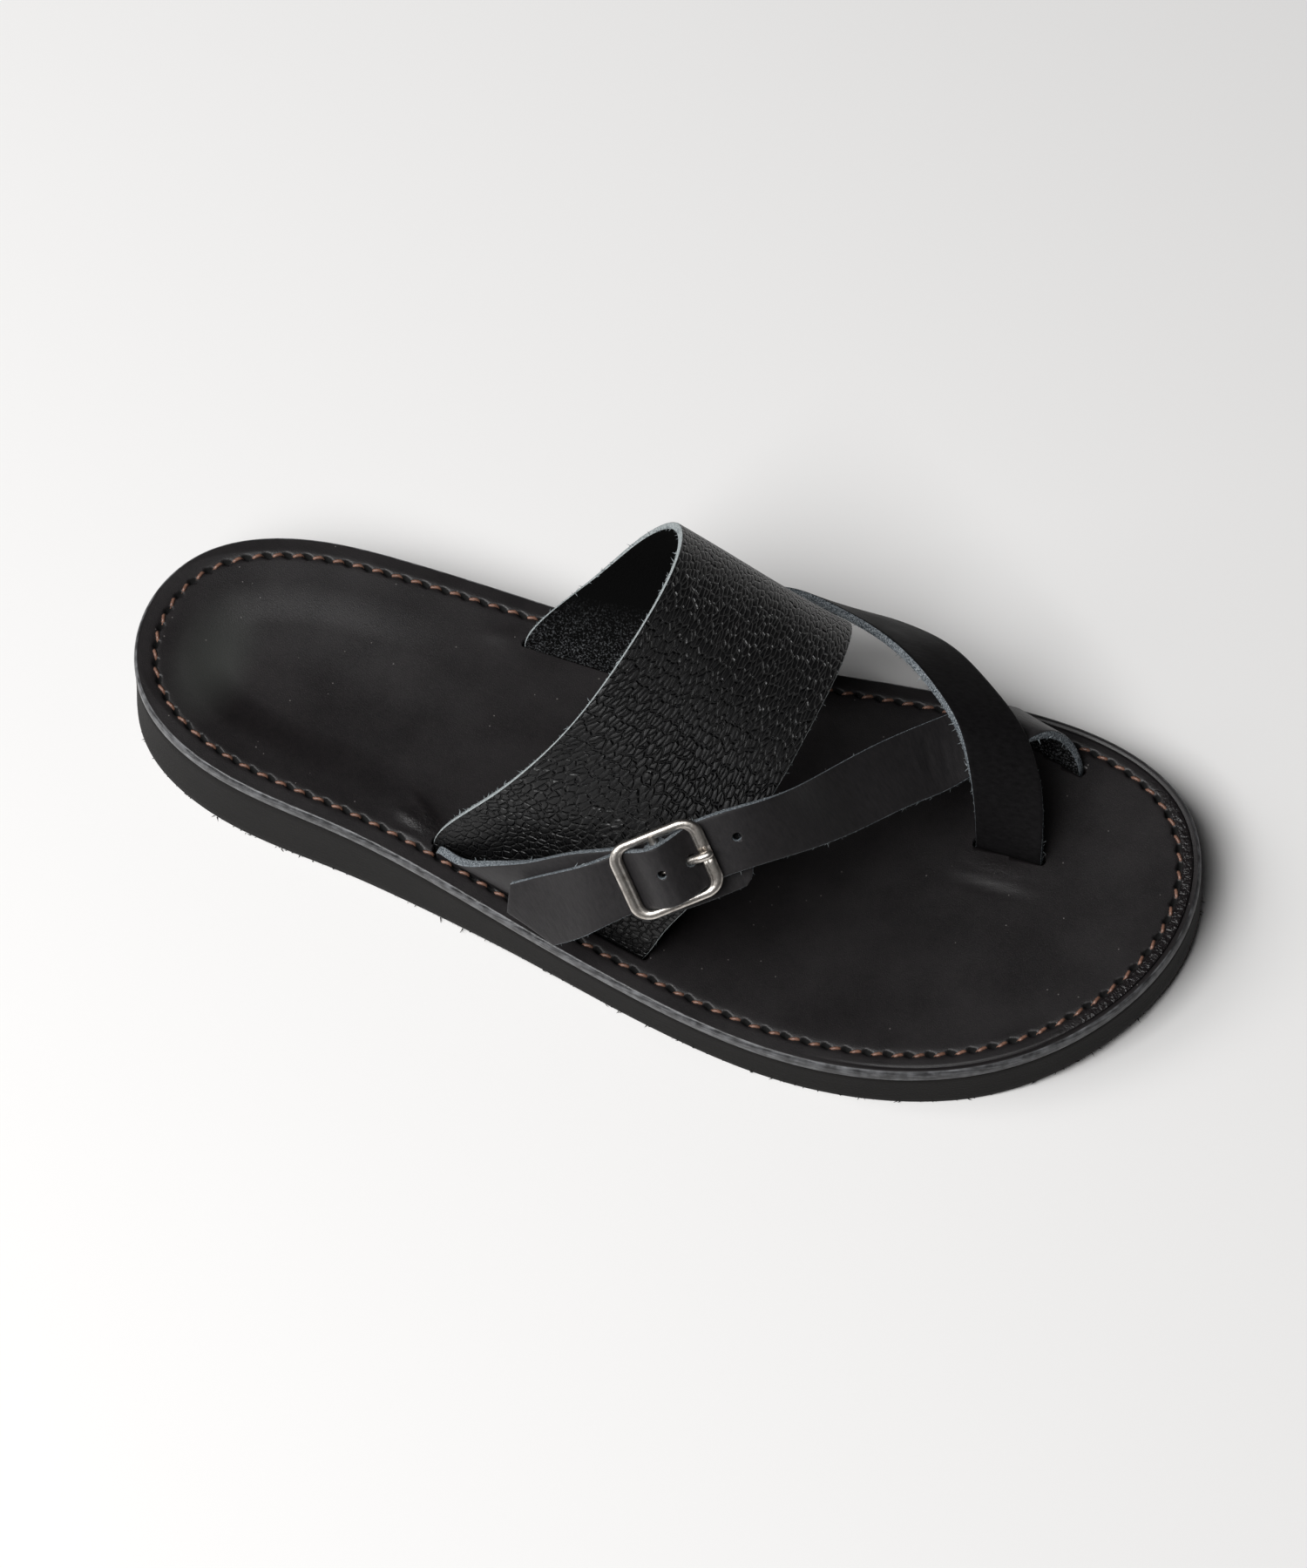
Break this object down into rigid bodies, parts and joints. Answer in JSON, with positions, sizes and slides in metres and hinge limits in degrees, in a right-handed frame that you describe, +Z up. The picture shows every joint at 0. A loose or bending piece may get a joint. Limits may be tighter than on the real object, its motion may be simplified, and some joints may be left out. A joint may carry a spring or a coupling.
{
  "type": "gurkha sandal",
  "caption": "Flat leather slide sandal for the right foot: a wide instep band, crossed toe straps with a side buckle, a stitched footbed and a low wedge sole.",
  "frame": {"origin": "middle of the sandal's box at the floor, below the arch", "axes": "+X toeward along the foot, +Y to the inner side of the foot, +Z up"},
  "size_m": [0.2682, 0.112, 0.0854],
  "materials": {
    "sole_rubber": "matt buffed sponge rubber",
    "footbed_leather": "smooth waxed black leather with a soft sheen",
    "upper_leather": "black leather, pebbled on the band and smooth on the straps, with raw cut edges",
    "buckle_metal": "tumbled nickel plate"
  },
  "bodies": {
    "root": {"outsole": "sole_rubber", "footbed": "footbed_leather", "upper": "upper_leather", "buckle_frame": "buckle_metal", "buckle_prong": "buckle_metal"}
  },
  "joints": []
}
